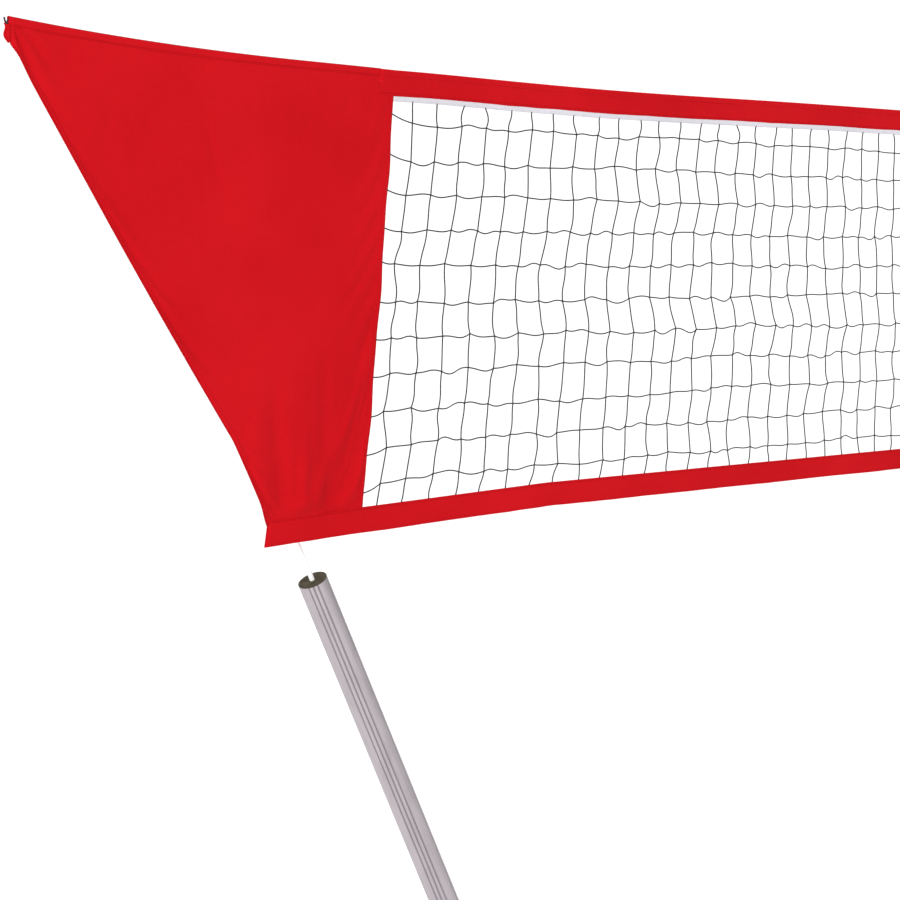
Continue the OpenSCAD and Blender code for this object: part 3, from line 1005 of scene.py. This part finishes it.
def knot_place(i, j):
    """Knot of column i and row j; row -1 is the header strip and row ROWS the bottom tape."""
    x0 = -FIRST_COLUMN_X + i * COLUMN_PITCH
    side = 1 if x0 > 0 else -1
    fan = FAN_SHIFT * max(0.0, 1 - (FIRST_COLUMN_X - abs(x0)) / FAN_REACH)
    top = top_z(x0) - TAPE_H - HEADER_H + 2 * MM
    low_x = x0 + side * fan
    bottom = foot_z(low_x) + TAPE_H - 2 * MM
    if j < 0:
        return Vector((x0 + wobble(14, i * 0.83, 4.4, 1.0), NET_Y, top))
    if j >= ROWS:
        return Vector((low_x + wobble(10, i * 0.71, 8.4, 1.0), NET_Y, bottom))
    z = FIRST_ROW_Z - j * ROW_PITCH
    slack_from = 5
    sag = 7 * MM * max(0, j - slack_from) / slack_from * smooth((abs(x0) - LEVEL_X) / 0.5)
    share = (top - z) / (top - bottom)
    wander, lift = jog(i, j, x0)
    x = lerp(x0, low_x, share) + wander * smooth(share * 9)
    y = NET_Y + wobble(1.5, i * 0.5, j * 0.7, 20.5)
    return Vector((x, y, z + lift - sag))


def strand(a, b, bulge, steps, way, skew=0.0):
    """Points from a towards b, bowed by bulge along way; b itself is left to the next strand."""
    points = []
    for s in range(steps):
        t = s / steps
        bow = math.sin(math.pi * t) * bulge + math.sin(2 * math.pi * t) * skew
        points.append(a.lerp(b, t) + way * bow)
    return points


def build_netting():
    """Upright and level cords between the knots, and the knots themselves."""
    places = {(i, j): knot_place(i, j) for i in range(COLUMNS) for j in range(-1, ROWS + 1)}
    uprights, levels, knots = Tubes(6), Tubes(6), Tubes(6)
    sideways, up = Vector((1, 0.25, 0)), Vector((0, 0.2, 1))
    for i in range(COLUMNS):
        path = []
        for j in range(-1, ROWS):
            bulge = wobble(24 if j == -1 else 13, i * 0.77, j * 1.9, 31.0)
            skew = wobble(6, i * 1.31, j * 1.1, 37.0)
            path += strand(places[i, j], places[i, j + 1], bulge, STRAND_STEPS, sideways, skew)
        path.append(places[i, ROWS])
        uprights.add(path, TWINE_R)
    for j in range(ROWS):
        droop = (18 - 3.4 * j) * MM
        first, last = places[0, j], places[COLUMNS - 1, j]
        start = Vector((-seam_x(first.z) - 3 * MM, NET_Y, first.z + droop))
        finish = Vector((seam_x(last.z) + 3 * MM, NET_Y, last.z + droop))
        path = strand(start, first, -2.5 * MM, END_STEPS, up)
        for i in range(COLUMNS - 1):
            bulge = wobble(11, i * 0.83, j * 1.4, 47.0) - 1.5 * MM
            skew = wobble(7, i * 1.17, j * 0.9, 53.0)
            path += strand(places[i, j], places[i + 1, j], bulge, STRAND_STEPS, up, skew)
        path += strand(last, finish, -2.5 * MM, END_STEPS, up) + [finish]
        levels.add(path, TWINE_R)
    for i in range(COLUMNS):
        for j in range(ROWS):
            tilt = 0.9 * noise.noise(Vector((i * 2.1, j * 3.3, 60.0)))
            way = Vector((math.cos(0.8 + tilt), 0.15, math.sin(0.8 + tilt))).normalized()
            core = [places[i, j] + way * (s * KNOT_REACH) for s in (-1, -0.55, 0, 0.55, 1)]
            knots.add(core, lambda t: TWINE_R * (0.7 + 0.95 * math.sin(math.pi * t)))
    upright = uprights.build("upright_netting", NET_TWINE, "netting_twine")
    level = levels.build("level_netting", NET_TWINE, "netting_twine")
    knots.build("netting_knots", NET_TWINE, "netting_twine")
    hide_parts("upright_cords")
    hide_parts("level_cords")


# ---------------------------------------------------------------- build the soft goods

build_cord()
for side_name, side_sign in SIDES.items():
    build_banner(side_name, side_sign)
    build_pocket(side_name, side_sign)
build_netting()
build_tapes()

# ---------------------------------------------------------------- finishes of the CAD pieces

CAD_FINISHES = {
    "hook": BLACK_PLASTIC, "mast": FIBREGLASS, "mast_bush": BLACK_PLASTIC,
    "plug": PLUG_SHADE_PLASTIC, "knob": BLACK_PLASTIC, "coupler": BRIGHT_STEEL,
    "snap_button": BRIGHT_STEEL, "snap_spring": BRIGHT_STEEL, "foot_cap": BLACK_PLASTIC,
    "socket": COATED_STEEL, "socket_bolt": BRIGHT_STEEL, "base_plate": COATED_STEEL,
}


def paint(node, material):
    """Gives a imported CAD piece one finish."""
    mesh = frame["nodes"][node].data
    mesh.materials.clear()
    mesh.materials.append(material)


for side_name in SIDES:
    for part, finish in CAD_FINISHES.items():
        paint(f"{side_name}_{part}", finish)
    for part in ("upper_tube", "base_tube"):
        paint(f"{side_name}_{part}", ALUMINIUM[side_name])
